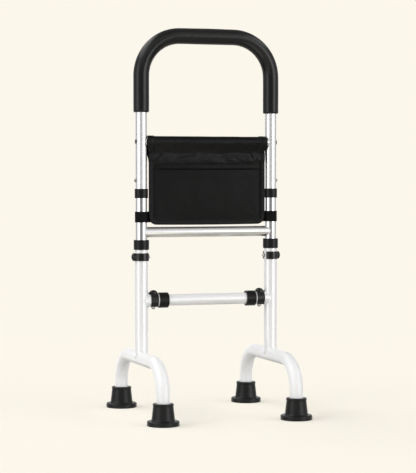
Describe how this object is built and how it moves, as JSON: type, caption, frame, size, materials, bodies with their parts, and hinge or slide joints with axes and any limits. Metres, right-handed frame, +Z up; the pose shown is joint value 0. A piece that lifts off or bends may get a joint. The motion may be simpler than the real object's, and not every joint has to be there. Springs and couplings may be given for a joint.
{
  "type": "couch standing aid",
  "caption": "Free-standing stand-up aid: padded inverted-U handle on telescoping legs with pin locks, a fabric pocket between the uprights and arched feet on rubber tips.",
  "frame": {"origin": "on the floor, midway between the four rubber tips", "axes": "+Z up, +X across the handle to the right seen from the front, -Y towards the front where the pocket opens"},
  "size_m": [0.322, 0.338, 0.7391],
  "materials": {
    "polished_aluminium": "polished",
    "white_paint": "gloss",
    "grip_foam": "matte",
    "black_plastic": "satin",
    "tip_rubber": "matte",
    "bag_fabric": "matte",
    "strap_webbing": "matte",
    "steel": "satin"
  },
  "bodies": {
    "lower_frame": {"leg_tube_left": "white_paint", "leg_tube_right": "white_paint", "leg_collar_left": "black_plastic", "leg_collar_right": "black_plastic", "cross_stub_left": "white_paint", "cross_stub_right": "white_paint", "cross_bar": "white_paint", "cross_collar_left": "black_plastic", "cross_collar_right": "black_plastic", "foot_arch_left": "white_paint", "foot_arch_right": "white_paint", "foot_tip_front_left": "tip_rubber", "foot_tip_front_right": "tip_rubber", "foot_tip_rear_left": "tip_rubber", "foot_tip_rear_right": "tip_rubber", "foot_tip_washers": "steel"},
    "upper_frame": {"handle_tube": "polished_aluminium", "handle_grip": "grip_foam", "top_bar": "polished_aluminium", "top_bar_plugs": "black_plastic", "top_bar_screws": "steel", "mid_tube_left": "polished_aluminium", "mid_tube_right": "polished_aluminium", "inner_tube_plugs": "black_plastic", "mid_bar": "polished_aluminium", "joint_collar_left": "black_plastic", "joint_collar_right": "black_plastic", "snap_spring_left": "steel", "snap_spring_right": "steel", "bag_back": "bag_fabric", "bag_pocket": "bag_fabric", "bag_strap_left": "strap_webbing", "bag_strap_right": "strap_webbing"},
    "height_lock_left": {"height_clip_left": "black_plastic", "height_pin_left": "steel"},
    "cross_lock_left": {"cross_clip_left": "black_plastic", "cross_pin_left": "steel"},
    "button_left": {"snap_button_left": "steel"},
    "height_lock_right": {"height_clip_right": "black_plastic", "height_pin_right": "steel"},
    "cross_lock_right": {"cross_clip_right": "black_plastic", "cross_pin_right": "steel"},
    "button_right": {"snap_button_right": "steel"}
  },
  "joints": [
    {"name": "height_slide", "type": "slide", "parent": "lower_frame", "child": "upper_frame", "axis": [0, 0, 1], "range_m": [0, 0.1524]},
    {"name": "height_lock_left_pull", "type": "slide", "parent": "lower_frame", "child": "height_lock_left", "axis": [-1, 0, 0], "range_m": [0, 0.034], "deforming": ["height_clip_left"]},
    {"name": "cross_lock_left_pull", "type": "slide", "parent": "lower_frame", "child": "cross_lock_left", "axis": [0, 0, 1], "range_m": [0, 0.034], "deforming": ["cross_clip_left"]},
    {"name": "button_left_press", "type": "slide", "parent": "upper_frame", "child": "button_left", "axis": [1, 0, 0], "range_m": [0, 0.0046], "stiffness_N_per_m": 1500, "deforming": ["snap_spring_left"]},
    {"name": "height_lock_right_pull", "type": "slide", "parent": "lower_frame", "child": "height_lock_right", "axis": [1, 0, 0], "range_m": [0, 0.034], "deforming": ["height_clip_right"]},
    {"name": "cross_lock_right_pull", "type": "slide", "parent": "lower_frame", "child": "cross_lock_right", "axis": [0, 0, 1], "range_m": [0, 0.034], "deforming": ["cross_clip_right"]},
    {"name": "button_right_press", "type": "slide", "parent": "upper_frame", "child": "button_right", "axis": [-1, 0, 0], "range_m": [0, 0.0046], "stiffness_N_per_m": 1500, "deforming": ["snap_spring_right"]}
  ]
}
